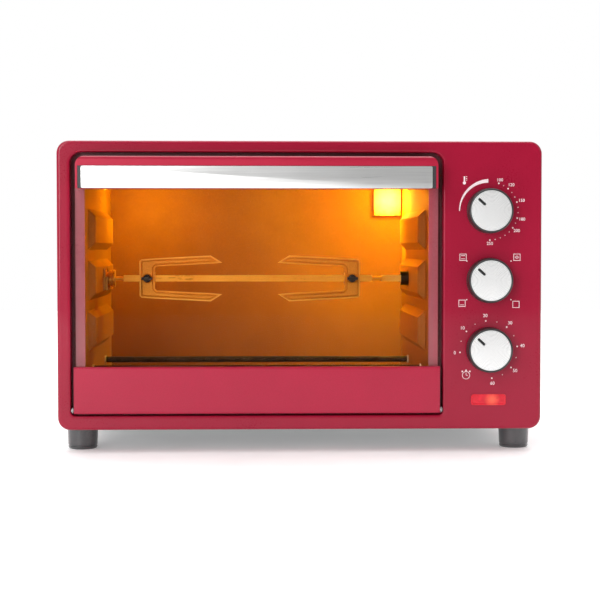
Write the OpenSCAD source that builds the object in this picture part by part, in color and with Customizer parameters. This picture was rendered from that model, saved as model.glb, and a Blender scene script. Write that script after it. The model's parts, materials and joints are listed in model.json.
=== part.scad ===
// Counter-top rotisserie oven: painted housing, drop-down glass door, three dials,
// tubular heaters and a motor-driven spit. The front faces -Y and the feet stand on z = 0.

/* [Body] */
// Width of the front frame
body_w = 460; // [420:5:560]
// Height of the front frame, without the feet
body_h = 274; // [250:2:330]
// Depth from the front frame's face to the rear cover's outer face
body_d = 320; // [290:5:400]
// Outer corner radius of the front frame
corner_r = 12; // [9:1:20]
// Wall thickness of the front frame
frame_wall = 2.5; // [2:0.25:3.5]
// How far the front frame's skirt wraps back over the shell
skirt_d = 22; // [20:1:30]
// Thickness of the outer sheet metal
sheet_t = 0.8; // [0.6:0.1:1.2]
// Visible height of the feet below the front frame
foot_h = 22; // [14:1:35]
// Radius of a foot at its top
foot_r = 15; // [11:0.5:18]

/* [Front opening] */
// Frame width on the left of the door opening
frame_left = 12.5; // [10:0.5:20]
// Frame height above the door opening
frame_top = 10.8; // [8:0.5:16]
// Frame height below the door opening
frame_bottom = 13.4; // [10:0.5:18]
// Width of the control panel beside the door opening
panel_w = 94; // [86:1:120]
// Radius of the door opening's top corners
open_top_r = 11; // [8:0.5:16]
// Radius of the door opening's bottom corners
open_bottom_r = 4.5; // [2:0.5:5]

/* [Door] */
// Gap between the door and the opening at each side
door_side_gap = 3.3; // [3:0.1:5]
// Gap below the door
door_bottom_gap = 2.2; // [2:0.1:4]
// Gap above the door
door_top_gap = 4.9; // [2:0.1:5]
// How far the lower door panel stands proud of the frame
door_proud = 3.2; // [2:0.1:3.5]
// Height of the lower door panel
lower_panel_h = 44.6; // [40:0.5:60]
// Height of the handle rail at the door's top
rail_h = 30; // [28:0.5:44]
// Reach of the handle rail in front of the frame
rail_reach = 22; // [19:0.5:34]
// Thickness of the door glass
glass_t = 4; // [3:0.5:4.5]

/* [Cavity] */
// Step from the door opening's edge in to each cavity side wall
cavity_border = 11.25; // [10.5:0.25:16]
// Thickness of the cavity sheet metal
liner_t = 0.8; // [0.5:0.1:1]
// Room behind the cavity for the lamp
rear_gap = 34; // [32:1:50]
// Height that each rack rail stands out of the side wall
bump_h = 7; // [4:0.5:9]
// Height of a rack rail at its foot
bump_base = 40; // [34:1:42]
// Distance between the rack rails
bump_pitch = 50; // [44:1:54]
// Radius of the heater tubes
heater_r = 3.25; // [2.5:0.25:4]
// Distance of each heater in front of and behind the spit
heater_off = 61; // [50:1:80]

/* [Spit] */
// Side of the square spit rod
spit_side = 6.5; // [5:0.25:8]
// Height of a spit fork across its two prongs
fork_h = 42; // [34:1:46]
// Length of the fork prongs
prong_len = 70; // [40:1:90]

/* [Controls] */
// Radius of a dial knob at its foot
knob_r = 21.6; // [17:0.2:24]
// Height of a dial knob
knob_h = 14.4; // [12:0.2:22]
// Distance between the dial centres
knob_pitch = 66; // [60:1:80]
// Angle of the knob pointers left of twelve o'clock
pointer_angle = 48; // [0:1:90]

/* [Hidden] */
$fn = 64;

red = "#a81f3a";
steel = "#b9b7b2";
dark = "#2c2d2f";
silver = "#dedede";

eps = 0.01;              // overlap that lets a cut pass clean through a face
fit = 0.3;               // clearance between nested sheet-metal pieces
running = 0.06;          // radial clearance of a turning shaft

// Housing
half_w = body_w / 2;
body_z0 = foot_h;
body_z1 = foot_h + body_h;
shell_inset = frame_wall + fit;
shell_x = half_w - shell_inset;
shell_z0 = body_z0 + shell_inset;
shell_z1 = body_z1 - shell_inset;
shell_r = corner_r - shell_inset;
base_x = shell_x - shell_r;               // where the shell's lower corners end at the base plate
floor_z = shell_z0 + sheet_t;            // top of the base plate
foot_in = 16.5;                          // from the shell's side to a foot's centre
foot_x = shell_x - foot_in;
foot_back = 40;                          // from the front face, and from the rear, to a foot's centre
foot_taper = 1;

// Layers from the front face backwards
chassis_t = 1;
chassis_y = 13;                          // the opening's return lip ends against the chassis plate
cav_y0 = chassis_y + chassis_t;
cav_y1 = body_d - rear_gap;
cover_y = body_d - sheet_t;              // inner face of the rear cover

// Door opening, door and cavity
open_x0 = -half_w + frame_left;
open_x1 = half_w - panel_w;
open_z0 = body_z0 + frame_bottom;
open_z1 = body_z1 - frame_top;
door_x0 = open_x0 + door_side_gap;
door_x1 = open_x1 - door_side_gap;
door_mid = (door_x0 + door_x1) / 2;
door_z0 = open_z0 + door_bottom_gap;
door_z1 = open_z1 - door_top_gap;
panel_top = door_z0 + lower_panel_h;
rail_z0 = door_z1 - rail_h;
cav_x0 = open_x0 + cavity_border;
cav_x1 = open_x1 - cavity_border;
cav_z0 = open_z0 + 11.5;
cav_z1 = open_z1 - 10.5;

// Hinge of the door, and the sprung link that holds it shut
pin_r = 1.5;
hinge_y = 0;
hinge_z = door_z0 + 3.3;
tab_t = 1.3;
tab_gap = 0.7;
tab_eye_r = 2.8;
link_t = 1.5;
link_h = 7;
link_in = 2.6;                           // from the door's side edge to the link
link_len = 75;
stud_y = chassis_y - 1.5;
stud_z = hinge_z + 22;
stud_r = 2;
anchor_y = 150;
anchor_z = hinge_z + 14;
link_pitch = atan2(anchor_z - stud_z, anchor_y - stud_y);
slot_z0 = hinge_z + 2;
slot_z1 = stud_z + 12;

// Door layers
glass_y0 = 2;
glass_y1 = glass_y0 + glass_t;
glass_z0 = panel_top - 9.3;
glass_z1 = rail_z0 + 9.3;
pane_y = glass_y1 + fit;                 // front of the inner frame's sheet
door_back = chassis_y - 1;
panel_back = 7;
side_nest = 1.2;                         // the inner frame sits inside the lower panel's flanges
window_border = 10;
window_z0 = panel_top - 1.8;
window_z1 = rail_z0 + 2.3;

// Handle rail
rail_inset = 4.5;
rail_x0 = door_x0 + rail_inset;
rail_x1 = door_x1 - rail_inset;
rail_wall = 3;
grip_t = 2;
strip_t = 1;
grip_top = door_z1 - 9.1;
rail_front_wall = 2.5;
rail_back_t = 3;

// Door screws
screw_top_z = door_z1 - 13;
screw_low_z = door_z0 + 22;
door_screw_x = [door_x0 + 40, door_mid, door_x1 - 40];

// Spit and rails
spit_y = (cav_y0 + cav_y1) / 2;
spit_z = cav_z0 + 116;
bump_slope_z = 7;
bump_slope_y = 6;
bump_y0 = cav_y0 + 36;
bump_y1 = cav_y1 - 44;
left_face = cav_x0 + bump_h;             // face of the rails on the left wall
bush_x0 = cav_x0 + 3.2;
bush_len = 14;
bush_r = 9;
groove_r = 6.5;
groove_x0 = bush_x0 + 5;
groove_w = 3.2;
neck_r = 2;
rod_x0 = bush_x0 + bush_len + 9;
rod_x1 = cav_x1 - 8.4;
waist_x0 = rod_x1 - 36.4;
waist_w = 10;
hub_x0 = cav_x1 - 14.8;
hub_len = 11.6;
hub_r = 7.2;
hub_web = hub_x0 + 7.2;                  // end of the square socket
motor_shaft_r = 3.5;
wall_hole_r = 10.5;

// Heaters
lower_z = cav_z0 + 26.5;
upper_z = cav_z1 - 13;
heater_front_y = spit_y - heater_off;
heater_rear_y = spit_y + heater_off;
insulator_r = 5.5;
insulator_neck_r = 4.3;
heater_hole_r = 4.5;
insulator_len = 4;
heater_ends = 12;                        // tube length outside each cavity wall

// Lamp, in the upper right corner of the back wall
lens_w = 30;
lens_h = 34;
lens_x = cav_x1 - 17;
lens_z = cav_z1 - 26;
lens_out = 8;
lens_wall = 2;
lens_flange = 2;
lens_r = 8;

// Controls
knob_x = half_w - 50.5;
knob_mid_z = spit_z + 1;
knob_z = [knob_mid_z + knob_pitch, knob_mid_z, knob_mid_z - knob_pitch];
knob_gap = 0.8;
knob_cap_r = knob_r - 2.5;
cap_t = 1;
shaft_r = 3;
shaft_flat = 1;
bush_hole_r = 5.2;
light_w = 33.4;
light_h = 10.5;
light_z = body_z0 + 28;

// Fork plate
fork_t = 1.5;
fork_base = 16;
fork_prong_w = 8.5;
fork_hole = spit_side + 0.4;
fork_y = spit_y - spit_side / 2 - 1.6;   // front plane of the rod plus room for the plate
fork_left_x = cav_x0 + 43;
fork_right_x = cav_x1 - 58;
thumb_r = 5.5;

// The whole object is centred front to back
spacer_h = 14;
front_reach = rail_reach + strip_t;
face_y = -(body_d + spacer_h + front_reach) / 2 + front_reach;

/* Shared shapes */

module box(lo, hi) {
    translate(lo) cube(hi - lo);
}

// Rectangle in X and Z with its own top and bottom corner radii
module rounded(x0, z0, x1, z1, rt, rb) {
    translate([x0, z0 + rb]) square([x1 - x0, z1 - z0 - rt - rb]);
    translate([x0 + rt, z0 + rb]) square([x1 - x0 - 2 * rt, z1 - z0 - rb]);
    translate([x0 + rb, z0]) square([x1 - x0 - 2 * rb, z1 - z0 - rt]);
    for (x = [x0 + rt, x1 - rt]) translate([x, z1 - rt]) circle(r = rt);
    for (x = [x0 + rb, x1 - rb]) translate([x, z0 + rb]) circle(r = rb);
}

// A drawing in X and Z made into a plate from y0 back to y1
module plate(y0, y1) {
    translate([0, y1, 0]) rotate([90, 0, 0]) linear_extrude(y1 - y0) children();
}

// A drawing in Y and Z made into a bar from x0 to x1
module bar(x0, x1) {
    translate([x0, 0, 0]) rotate([90, 0, 90]) linear_extrude(x1 - x0) children();
}

module rod_x(y, z, x0, x1, r) {
    translate([x0, y, z]) rotate([0, 90, 0]) cylinder(r = r, h = x1 - x0);
}

module rod_y(x, z, y0, y1, r) {
    translate([x, y1, z]) rotate([90, 0, 0]) cylinder(r = r, h = y1 - y0);
}

module rod_z(x, y, z0, z1, r) {
    translate([x, y, z0]) cylinder(r = r, h = z1 - z0);
}

// A slot with round ends, cut through a sheet that faces Y
module slot_y(x, z, length, width, y0, y1) {
    plate(y0, y1) {
        translate([x - length / 2 + width / 2, z - width / 2]) square([length - width, width]);
        for (s = [-1, 1]) translate([x + s * (length - width) / 2, z]) circle(r = width / 2);
    }
}

// Mirrors its children from the left side of the door to the right side
module on_right() {
    translate([2 * door_mid, 0, 0]) mirror([1, 0, 0]) children();
}

/* Housing */

module opening_outline(grow = 0) {
    rounded(open_x0 - grow, open_z0 - grow, open_x1 + grow, open_z1 + grow,
            open_top_r + grow, open_bottom_r + grow);
}

module light_outline(grow = 0) {
    r = 2.5 + grow;
    rounded(knob_x - light_w / 2 - grow, light_z - light_h / 2 - grow,
            knob_x + light_w / 2 + grow, light_z + light_h / 2 + grow, r, r);
}

module front_frame() color(red) {
    inner_r = corner_r - frame_wall;
    difference() {
        union() {
            difference() {
                plate(0, skirt_d) rounded(-half_w, body_z0, half_w, body_z1, corner_r, corner_r);
                plate(frame_wall, skirt_d + 1)
                    rounded(-half_w + frame_wall, body_z0 + frame_wall, half_w - frame_wall,
                            body_z1 - frame_wall, inner_r, inner_r);
            }
            plate(frame_wall - eps, chassis_y) opening_outline(2.2);
        }
        plate(-1, skirt_d) opening_outline();
        for (z = knob_z) rod_y(knob_x, z, -1, frame_wall + 1, 7);
        plate(-1, frame_wall + 1) light_outline(0.2);
    }
}

module chassis_plate() color(steel) {
    difference() {
        plate(chassis_y, cav_y0) shell_outline(sheet_t);
        box([cav_x0, chassis_y - 1, cav_z0], [cav_x1, cav_y0 + 1, cav_z1]);
        for (z = knob_z) rod_y(knob_x, z, chassis_y - 1, cav_y0 + 1, bush_hole_r);
        plate(chassis_y - 1, cav_y0 + 1) light_outline(-2);
        door_side_slots();
        on_right() door_side_slots();
    }
}

// Openings in the chassis plate for the hinge tab and the door link, on the left
module door_side_slots() {
    tab_x = door_x0 - tab_gap - tab_t;
    box([tab_x - 0.4, chassis_y - 1, hinge_z - 3.6], [tab_x + tab_t + 0.4, cav_y0 + 1, hinge_z + 3.6]);
    box([door_x0 + 0.8, chassis_y - 1, slot_z0], [door_x0 + 5.6, cav_y0 + 1, slot_z1]);
}

// Outline of the shell and of the plates that close its ends
module shell_outline(inset) {
    r = max(shell_r - inset, 0.2);
    rounded(-shell_x + inset, shell_z0 + inset, shell_x - inset, shell_z1 - inset, r, r);
}

module outer_shell() color(red) {
    flange = 9;
    vent_rows = [-26, 0, 26];
    vent_n = 9;
    difference() {
        plate(cav_y0, cover_y) shell_outline(0);
        plate(cav_y0 - 1, cover_y - sheet_t) shell_outline(sheet_t);
        plate(cover_y - 2 * sheet_t, cover_y + 1) shell_outline(flange);
        for (s = [-1, 1]) for (dz = vent_rows) for (i = [0 : vent_n - 1])
            translate([s * shell_x, body_d - 60 - 15 * i, body_z1 - 80 + dz])
                cube([4, 3, 18], center = true);
        cover_screw_places() rod_y(0, 0, cover_y - 4, cover_y + 1, 1.9);
        box([-base_x, cav_y0 - 1, shell_z0 - 1], [base_x, cover_y - sheet_t, floor_z]);
    }
}

// Places the same child at each screw of the rear cover
module cover_screw_places() {
    inset = 5.5;
    for (x = [-shell_x + inset, shell_x - inset]) for (z = [shell_z0 + 16, shell_z1 - 16])
        translate([x, 0, z]) children();
    for (x = [-80, 80]) translate([x, 0, shell_z1 - inset]) children();
}

gland_x = half_w - 35;
gland_z = body_z0 + 38;
gland_r = 8;
cord_bore_r = 4;

module rear_cover() color(red) {
    vent_cols = 11;
    difference() {
        plate(cover_y, body_d) shell_outline(0);
        for (row = [0 : 3]) for (i = [0 : vent_cols - 1])
            slot_y(-75 + 15 * i, body_z0 + 120 + 24 * row, 4, 3.9, cover_y - 1, body_d + 1);
        for (row = [0 : 1]) for (i = [0 : 4])
            slot_y(half_w - 60, body_z0 + 100 + 80 * row + 9 * i, 50, 4, cover_y - 1, body_d + 1);
        rod_y(gland_x, gland_z, cover_y - 1, body_d + 1, gland_r);
        cover_screw_places() rod_y(0, 0, cover_y - 1, body_d + 1, 1.9);
    }
}

module base_plate() color(steel) {
    spring_anchor();
    on_right() spring_anchor();
    difference() {
        box([-base_x, cav_y0, shell_z0], [base_x, cover_y - sheet_t, floor_z]);
        foot_places() rod_z(0, 0, shell_z0 - 1, floor_z + 1, 2.2);
        for (i = [0 : 9]) for (y = [90, 200])
            box([-150 + 22 * i, y, shell_z0 - 1], [-146 + 22 * i, y + 40, floor_z + 1]);
    }
}

module foot_places() {
    for (x = [-foot_x, foot_x]) for (y = [foot_back, body_d - foot_back]) translate([x, y, 0]) children();
}

module foot(x, y) color(dark) {
    edge = 1.5;
    base_r = foot_r - foot_taper;
    translate([x, y, 0]) difference() {
        rotate_extrude() polygon([[0, 0], [base_r - edge, 0], [base_r - 0.4, 0.5], [base_r, edge],
                                  [foot_r, shell_z0], [0, shell_z0]]);
        translate([0, 0, -1]) cylinder(r = 5, h = shell_z0 / 2 + 1);
        translate([0, 0, -1]) cylinder(r = 2.2, h = shell_z0 + 2);
    }
}

module foot_front_left() foot(-foot_x, foot_back);

module foot_front_right() foot(foot_x, foot_back);

module foot_rear_left() foot(-foot_x, body_d - foot_back);

module foot_rear_right() foot(foot_x, body_d - foot_back);

module foot_screws() color(steel) {
    foot_places() {
        rod_z(0, 0, shell_z0 / 2 - 2.6, shell_z0 / 2, 4.2);
        rod_z(0, 0, shell_z0 / 2 - eps, floor_z + 4, 2);
    }
}

/* Cavity */

// A pressed rack rail, standing toward +X from the plane x = 0
module rail_form(z, reach) {
    z0 = z - bump_base / 2;
    z1 = z + bump_base / 2;
    intersection() {
        translate([0, 0, z0]) linear_extrude(bump_base)
            polygon([[-3, bump_y0], [0, bump_y0], [reach, bump_y0 + bump_slope_y],
                     [reach, bump_y1 - bump_slope_y], [0, bump_y1], [-3, bump_y1]]);
        plate(bump_y0, bump_y1)
            polygon([[-3, z0], [0, z0], [reach, z0 + bump_slope_z],
                     [reach, z1 - bump_slope_z], [0, z1], [-3, z1]]);
    }
}

// The left wall, with its rails toward +X. The right wall is its mirror image.
module side_wall(spit_hole_r) {
    levels = [spit_z - bump_pitch, spit_z, spit_z + bump_pitch];
    difference() {
        union() {
            box([-liner_t, cav_y0, cav_z0 - liner_t], [0, cav_y1, cav_z1 + liner_t]);
            for (z = levels) intersection() {
                rail_form(z, bump_h);
                box([-eps, bump_y0, cav_z0], [bump_h + 1, bump_y1, cav_z1]);
            }
        }
        for (z = levels) translate([-liner_t, 0, 0]) rail_form(z, bump_h);
        rod_x(spit_y, spit_z, -3, bump_h + 3, spit_hole_r);
        for (y = [heater_front_y, heater_rear_y]) for (z = [lower_z, upper_z])
            rod_x(y, z, -3, 3, heater_hole_r);
    }
}

module cavity_left_wall() color(steel) translate([cav_x0, 0, 0]) side_wall(wall_hole_r);

module cavity_right_wall() color(steel) translate([cav_x1, 0, 0]) mirror([1, 0, 0]) side_wall(9);

module lens_outline(grow) {
    rounded(lens_x - lens_w / 2 - grow, lens_z - lens_h / 2 - grow,
            lens_x + lens_w / 2 + grow, lens_z + lens_h / 2 + grow, lens_r + grow, lens_r + grow);
}

module cavity_back_wall() color(steel) {
    difference() {
        box([cav_x0 - liner_t, cav_y1, cav_z0 - liner_t],
            [cav_x1 + liner_t, cav_y1 + liner_t, cav_z1 + liner_t]);
        plate(cav_y1 - 1, cav_y1 + 2) lens_outline(0.2);
    }
}

// Ceiling or floor sheet between the side walls, with a flange along the chassis plate
module cross_sheet(z, flange_z) {
    box([cav_x0, cav_y0, z], [cav_x1, cav_y1, z + liner_t]);
    box([cav_x0, cav_y0, min(z, flange_z)], [cav_x1, cav_y0 + liner_t, max(z + liner_t, flange_z)]);
}

module cavity_ceiling() color(steel) cross_sheet(cav_z1, cav_z1 + 9);

module cavity_floor() color(steel) cross_sheet(cav_z0 - liner_t, cav_z0 - 10);

tray_in = 3;
tray_y0 = cav_y0 + 4;
tray_y1 = cav_y1 - 8;
tray_h = 9;

module crumb_tray() color(silver) {
    difference() {
        box([cav_x0 + tray_in, tray_y0, cav_z0], [cav_x1 - tray_in, tray_y1, cav_z0 + tray_h]);
        box([cav_x0 + tray_in + liner_t, tray_y0 + liner_t, cav_z0 + liner_t],
            [cav_x1 - tray_in - liner_t, tray_y1 - liner_t, cav_z0 + tray_h + 1]);
    }
}

module heater(y, z) {
    x0 = cav_x0 - liner_t - heater_ends;
    x1 = cav_x1 + liner_t + heater_ends;
    rod_x(y, z, x0, x1, heater_r);
    rod_x(y, z, x0 - 3.5, x0 + eps, 1.5);
    rod_x(y, z, x1 - eps, x1 + 3.5, 1.5);
}

module heaters(z) color("#5b5753") for (y = [heater_front_y, heater_rear_y]) heater(y, z);

module heaters_upper() heaters(upper_z);

module heaters_lower() heaters(lower_z);

module heater_insulators() color("#e9e4d8") {
    for (y = [heater_front_y, heater_rear_y]) for (z = [lower_z, upper_z]) {
        difference() {
            union() {
                rod_x(y, z, cav_x0 - liner_t - insulator_len, cav_x0 - liner_t, insulator_r);
                rod_x(y, z, cav_x0 - liner_t - eps, cav_x0 + 1.6, insulator_neck_r);
            }
            rod_x(y, z, cav_x0 - 10, cav_x0 + 5, heater_r + running);
        }
        difference() {
            union() {
                rod_x(y, z, cav_x1 + liner_t, cav_x1 + liner_t + insulator_len, insulator_r);
                rod_x(y, z, cav_x1 - 1.6, cav_x1 + liner_t + eps, insulator_neck_r);
            }
            rod_x(y, z, cav_x1 - 5, cav_x1 + 10, heater_r + running);
        }
    }
}

/* Lamp */

lamp_y = cav_y1 + liner_t + lens_flange;
lamp_box_d = 23;

module lamp_lens() color("#ffe9a8") {
    difference() {
        union() {
            plate(cav_y1 - lens_out, lamp_y - lens_flange + eps) lens_outline(0);
            plate(lamp_y - lens_flange, lamp_y) lens_outline(2);
        }
        plate(cav_y1 - lens_out + lens_wall, lamp_y + 1) lens_outline(-lens_wall);
    }
}

module lamp_housing() color(steel) {
    difference() {
        plate(lamp_y, lamp_y + lamp_box_d) lens_outline(2);
        plate(lamp_y - 1, lamp_y + lamp_box_d - 1) lens_outline(1);
        rod_z(lens_x, lamp_y + 10, lens_z + 10, lens_z + lens_h, 6.7);
    }
}

module lamp_bulb() color("#fff6d0") {
    translate([lens_x, lamp_y + 10, lens_z - 5]) {
        sphere(r = 8.5);
        cylinder(r = 6.5, h = 34);
    }
}

/* Spit drive and support */

module spit_support() color("#c9a060") {
    half = 13;
    plate_x = groove_x0 + (groove_w - 1.6) / 2;
    drop = 12;
    notch_r = groove_r + 0.25;
    difference() {
        union() {
            box([plate_x, spit_y - half, spit_z - drop], [plate_x + 1.6, spit_y + half, spit_z + 2]);
            for (s = [0, 1]) {
                y = spit_y - half + s * (2 * half - 1.2);
                box([left_face, y, spit_z - drop], [plate_x + 1.6, y + 1.2, spit_z + 2]);
                wing = s == 0 ? spit_y - half - 8 : spit_y + half - 1.2;
                box([left_face, wing, spit_z - drop], [left_face + 1.2, wing + 9.2, spit_z + drop - 1]);
            }
        }
        rod_x(spit_y, spit_z, plate_x - 1, plate_x + 3, notch_r);
        box([plate_x - 1, spit_y - notch_r, spit_z], [plate_x + 3, spit_y + notch_r, spit_z + 5]);
    }
}

bracket_x = cav_x1 + liner_t + 8;
motor_r = 25;
motor_len = 18;

module motor_bracket() color(steel) {
    reach = 38;
    h = 15;
    difference() {
        union() {
            box([bracket_x, spit_y - reach, spit_z - h], [bracket_x + 1.2, spit_y + reach, spit_z + h]);
            for (s = [-1, 1]) {
                y = spit_y + s * reach - (s > 0 ? 1.2 : 0);
                box([cav_x1 + liner_t, y, spit_z + 2], [bracket_x + eps, y + 1.2, spit_z + h]);
            }
        }
        rod_x(spit_y, spit_z, bracket_x - 1, bracket_x + 3, 5.2);
        for (s = [-1, 1]) rod_x(spit_y + s * 31, spit_z, bracket_x - 1, bracket_x + 3, 1.7);
    }
}

module spit_motor() color("#8b8f94") {
    x0 = bracket_x + 1.2;
    difference() {
        union() {
            rod_x(spit_y, spit_z, x0, x0 + motor_len, motor_r);
            box([x0, spit_y - 35, spit_z - 5], [x0 + 1.2, spit_y + 35, spit_z + 5]);
            rod_x(spit_y, spit_z, x0 - 5, x0 + eps, 5);
            box([x0 + 4, spit_y - 12, spit_z - motor_r - 8],
                [x0 + motor_len - 2, spit_y + 12, spit_z - motor_r + 6]);
        }
        rod_x(spit_y, spit_z, x0 - 6, x0 + 12, motor_shaft_r + running);
        for (s = [-1, 1]) rod_x(spit_y + s * 31, spit_z, x0 - 1, x0 + 3, 1.7);
    }
}

/* Controls behind the front frame */

module control_bush(z) {
    rod_y(knob_x, z, 4, cav_y0 + 1.2, bush_hole_r - 0.2);
}

module shaft_bore(z, depth) {
    rod_y(knob_x, z, 2, cav_y0 + depth, shaft_r + running);
}

// Push-on terminal blade
module terminal(x, z, y0) {
    box([x - 3, y0, z - 0.4], [x + 3, y0 + 10, z + 0.4]);
}

module thermostat() color("#d8d2c0") {
    z = knob_z[0];
    difference() {
        union() {
            control_bush(z);
            box([knob_x - 27, cav_y0, z - 8], [knob_x + 27, cav_y0 + 1.2, z + 8]);
            box([knob_x - 19, cav_y0 + 1.2 - eps, z - 14], [knob_x + 19, cav_y0 + 24, z + 14]);
            for (s = [-1, 1]) terminal(knob_x + s * 10, z, cav_y0 + 23);
        }
        shaft_bore(z, 11);
    }
}

module mode_switch() color("#efe9d9") {
    z = knob_z[1];
    difference() {
        union() {
            control_bush(z);
            box([knob_x - 20, cav_y0, z - 9], [knob_x + 20, cav_y0 + 1.2, z + 9]);
            box([knob_x - 16, cav_y0 + 1.2 - eps, z - 16], [knob_x + 16, cav_y0 + 28, z + 16]);
            for (s = [-1, 1]) for (t = [-1, 1]) terminal(knob_x + s * 9, z + t * 9, cav_y0 + 27);
        }
        shaft_bore(z, 11);
    }
}

// The timer carries its bell on a post behind it
module timer() color(steel) {
    z = knob_z[2];
    bell_y = cav_y0 + 33;
    difference() {
        union() {
            control_bush(z);
            box([knob_x - 29, cav_y0, z - 9], [knob_x + 29, cav_y0 + 1.2, z + 9]);
            rod_y(knob_x, z, cav_y0 + 1.2 - eps, bell_y - 1, 24);
            rod_y(knob_x, z, bell_y - 1 - eps, bell_y + 10, 3);
        }
        shaft_bore(z, 11);
    }
    difference() {
        rod_y(knob_x, z, bell_y, bell_y + 9, 20);
        rod_y(knob_x, z, bell_y - 1, bell_y + 8, 19);
    }
}

// Red lens over a neon lamp, clipped into the front frame as one unit
module indicator_light() color("#ff2a2a") {
    back = frame_wall + 1;
    difference() {
        union() {
            plate(-0.8, frame_wall + eps) light_outline(0);
            plate(frame_wall, back) light_outline(1.5);
        }
        plate(1, back + 1) light_outline(-1.2);
    }
    plate(back - eps, chassis_y - 1) light_outline(-1);
    rod_x(2.4, light_z, knob_x - 8, knob_x + 12, 1.2);
    for (s = [-1, 1]) terminal(knob_x + s * 8, light_z, chassis_y - 1 - eps);
}

module terminal_block() color("#efe9d9") {
    x0 = half_w - 72;
    y0 = body_d - 78;
    difference() {
        box([x0, y0, floor_z], [x0 + 40, y0 + 20, floor_z + 18]);
        for (i = [0 : 2]) rod_z(x0 + 8 + 12 * i, y0 + 10, floor_z + 10, floor_z + 20, 3);
    }
}

module cord_gland() color(dark) {
    difference() {
        union() {
            rod_y(gland_x, gland_z, cover_y - 11, body_d, gland_r - 0.1);
            rod_y(gland_x, gland_z, body_d, body_d + 4, gland_r + 4);
            rod_y(gland_x, gland_z, cover_y - 6, cover_y, gland_r + 2);
        }
        rod_y(gland_x, gland_z, cover_y - 12, body_d + 5, cord_bore_r);
    }
}

module cover_screws() color(steel) {
    cover_screw_places() {
        rod_y(0, 0, body_d, body_d + 2.2, 3.6);
        rod_y(0, 0, cover_y - 6, body_d + eps, 1.7);
    }
}

module rear_spacers() color(dark) {
    for (x = [-150, 150]) translate([x, body_d, body_z1 - 45]) rotate([-90, 0, 0])
        rotate_extrude() polygon([[0, 0], [10, 0], [9, spacer_h - 1.5], [7.5, spacer_h], [0, spacer_h]]);
}

/* Door hinges, links and springs. Each is drawn for the left side and mirrored. */

module hinge_bracket() {
    tab_x = door_x0 - tab_gap - tab_t;
    difference() {
        union() {
            rod_x(hinge_y, hinge_z, tab_x, tab_x + tab_t, tab_eye_r);
            box([tab_x, hinge_y, hinge_z - tab_eye_r], [tab_x + tab_t, cav_y0 + 1.3, hinge_z + tab_eye_r]);
            box([tab_x - 7.5, cav_y0, hinge_z - 8], [tab_x + tab_t, cav_y0 + 1.3, hinge_z + 20]);
        }
        rod_x(hinge_y, hinge_z, tab_x - 1, tab_x + tab_t + 1, pin_r + running);
    }
}

module hinge_brackets() color(steel) {
    hinge_bracket();
    on_right() hinge_bracket();
}

link_x = door_x0 + link_in;
link_mid = link_x + link_t / 2;
spring_r = 3;
spring_wire = 0.5;

// Puts its child at the link's stud, with +Y along the line to the spring anchor
module along_link() {
    translate([link_mid, stud_y, stud_z]) rotate([link_pitch, 0, 0]) children();
}

module door_link() {
    along_link() difference() {
        union() {
            rod_x(0, 0, -link_t / 2, link_t / 2, link_h / 2);
            box([-link_t / 2, 0, -link_h / 2], [link_t / 2, link_len, link_h / 2]);
        }
        rod_x(0, 0, -2, 2, stud_r + running);
        rod_x(link_len - 4, 0, -2, 2, spring_wire + 0.3);
    }
}

module door_links() color(steel) {
    door_link();
    on_right() door_link();
}

anchor_dist = norm([anchor_y - stud_y, anchor_z - stud_z]);
coil_y0 = link_len + 8;
coil_y1 = anchor_dist - 8;
hook_x = link_t / 2 + spring_wire + 0.2;
coil_turns = floor((coil_y1 - coil_y0) / (1.8 * spring_wire));

module door_spring() {
    pitch = (coil_y1 - coil_y0) / coil_turns;
    along_link() {
        rod_x(link_len - 4, 0, -1.3, hook_x, spring_wire);
        rod_y(hook_x, 0, link_len - 4 - spring_wire, coil_y0 + 1, spring_wire);
        rod_y(0, 0, coil_y1 - 1, anchor_dist + 2, spring_wire);
        rod_y(0, 0, anchor_dist + 1, anchor_dist + 2, 1.5);
        for (end = [coil_y0, coil_y1 - 1]) rod_y(0, 0, end, end + 1, spring_r);
        difference() {
            rod_y(0, 0, coil_y0, coil_y1, spring_r);
            rod_y(0, 0, coil_y0 + 1, coil_y1 - 1, spring_r - 2 * spring_wire);
            for (i = [1 : 3 : coil_turns - 2]) translate([0, coil_y0 + i * pitch, 0]) rotate([90, 0, 0])
                rotate_extrude() translate([spring_r, 0]) circle(r = 0.4);
        }
    }
}

module door_springs() color("#8f9296") {
    door_spring();
    on_right() door_spring();
}

// Tab that stands up from the base plate and holds the spring's end
module spring_anchor() {
    anchor_x1 = cav_x0 - liner_t - 0.8;
    difference() {
        box([link_mid - 5, anchor_y - 0.6, floor_z - eps], [anchor_x1, anchor_y + 0.6, anchor_z + 6]);
        rod_y(link_mid, anchor_z, anchor_y - 3, anchor_y + 3, spring_wire + 0.2);
    }
    box([link_mid - 5, anchor_y - 0.6, floor_z - eps], [anchor_x1, anchor_y + 12, floor_z + 1.2]);
}

/* Door */

// Ear on the inner frame that carries the link's stud, on the left
module link_ear() {
    x = door_x0 + side_nest;
    box([x, pane_y + 0.5, stud_z - 5], [x + sheet_t, stud_y + 4, stud_z + 5]);
    rod_x(stud_y, stud_z, x + sheet_t - eps, link_x + link_t + 0.4, stud_r);
    rod_x(stud_y, stud_z, link_x + link_t + 0.3, link_x + link_t + 0.9, stud_r + 0.8);
}

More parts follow.
